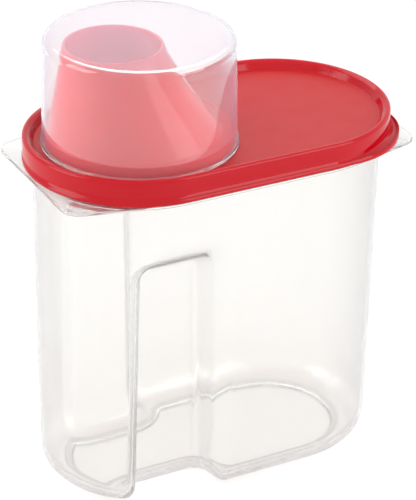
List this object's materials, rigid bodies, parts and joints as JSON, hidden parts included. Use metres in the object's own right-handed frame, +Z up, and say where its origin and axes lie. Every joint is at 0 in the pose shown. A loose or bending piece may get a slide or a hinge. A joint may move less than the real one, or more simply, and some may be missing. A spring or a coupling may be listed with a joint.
{
  "type": "cereal container",
  "caption": "Long-oval clear food container with finger grips, a press-on lid with a fixed pouring spout, and a measuring cup that caps the spout.",
  "frame": {"origin": "centre of the base, on the surface that the container stands on", "axes": "+Z up, +X along the length with the spout at the -X end, +Y across towards the back"},
  "size_m": [0.1846, 0.1076, 0.229],
  "materials": {
    "clear_plastic": "gloss, slightly hazy",
    "red_plastic": "gloss, with a satin panel"
  },
  "bodies": {
    "container": {"container": "clear_plastic"},
    "lid": {"lid": "red_plastic"},
    "measuring_cup": {"measuring_cup": "clear_plastic"}
  },
  "joints": [
    {"name": "lid_lift", "type": "slide", "parent": "container", "child": "lid", "axis": [0, 0, 1], "range_m": [0, 0.06]},
    {"name": "cup_lift", "type": "slide", "parent": "lid", "child": "measuring_cup", "axis": [0, 0, 1], "range_m": [0, 0.07]}
  ]
}
